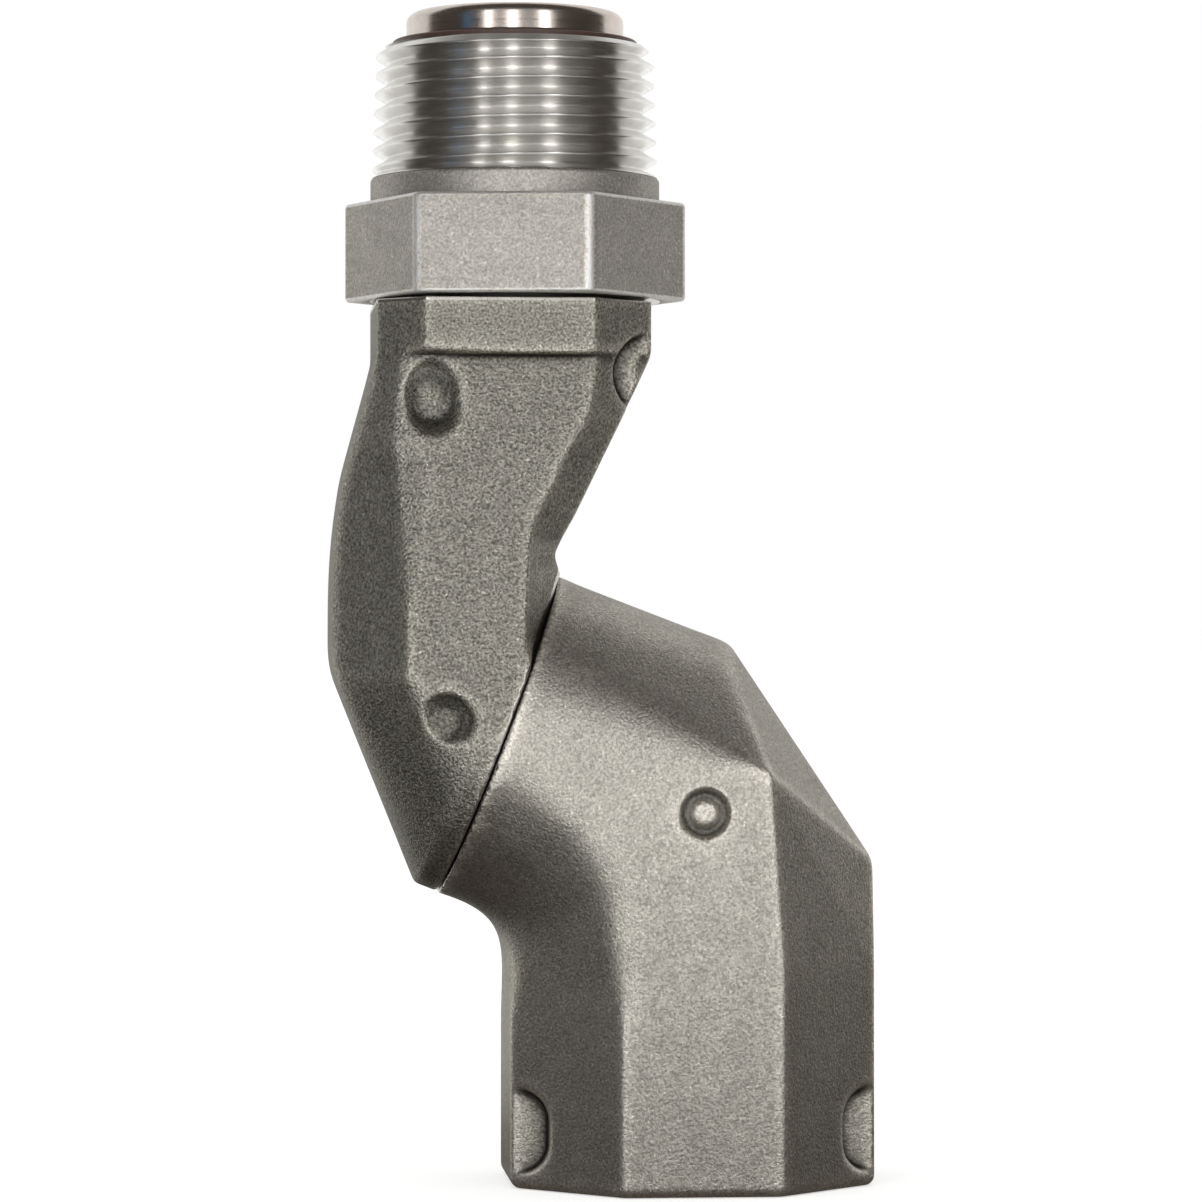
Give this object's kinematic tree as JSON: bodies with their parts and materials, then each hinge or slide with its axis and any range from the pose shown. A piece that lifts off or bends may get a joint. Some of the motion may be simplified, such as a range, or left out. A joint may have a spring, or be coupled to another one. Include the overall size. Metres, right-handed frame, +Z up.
{
  "type": "fuel transfer swivel",
  "caption": "Two-plane swivel for a fuel hose: female foot, inclined swivel joint, offset neck and a rotating male pipe thread with a hexagon.",
  "frame": {"origin": "centre of the female thread's mouth, on the flat underside of the foot", "axes": "+Z up along the female thread's axis, +X away from the offset neck, +Y to the back of the castings"},
  "size_m": [0.0629, 0.0424, 0.1364],
  "materials": {
    "cast_lower": "as-cast, fine grain",
    "cast_upper": "as-cast, darker",
    "machined_connector": "cast hexagon, bright cut thread",
    "nickel_plate": "polished",
    "turned_steel": "turned",
    "spring_steel": "oiled",
    "brown_acetal": "turned",
    "nitrile_rubber": "moulded",
    "white_ptfe": "skived"
  },
  "bodies": {
    "lower": {"lower_body": "cast_lower", "elbow_bushing": "brown_acetal", "elbow_retaining_ring": "spring_steel", "elbow_thrust_washer": "brown_acetal", "elbow_dust_seal": "nitrile_rubber"},
    "upper": {"upper_body": "cast_upper", "elbow_stem": "turned_steel", "elbow_static_oring": "nitrile_rubber", "elbow_outer_oring": "nitrile_rubber", "elbow_inner_oring": "nitrile_rubber", "elbow_backup_ring": "white_ptfe", "inlet_stem": "nickel_plate", "inlet_static_oring": "nitrile_rubber"},
    "connector": {"male_connector": "machined_connector", "connector_lower_bushing": "brown_acetal", "connector_upper_bushing": "brown_acetal", "connector_lower_oring": "nitrile_rubber", "connector_upper_oring": "nitrile_rubber", "connector_backup_ring": "white_ptfe", "connector_thrust_washer": "brown_acetal", "connector_dust_seal": "nitrile_rubber", "head_thrust_washer": "brown_acetal"}
  },
  "joints": [
    {"name": "elbow_swivel", "type": "hinge", "parent": "lower", "child": "upper", "pos_m": [-0.02235, 0, 0.0523], "axis": [0.9336, 0, -0.3584], "continuous": true},
    {"name": "connector_swivel", "type": "hinge", "parent": "upper", "child": "connector", "pos_m": [-0.02005, 0, 0.1174], "axis": [0, 0, 1], "continuous": true}
  ]
}
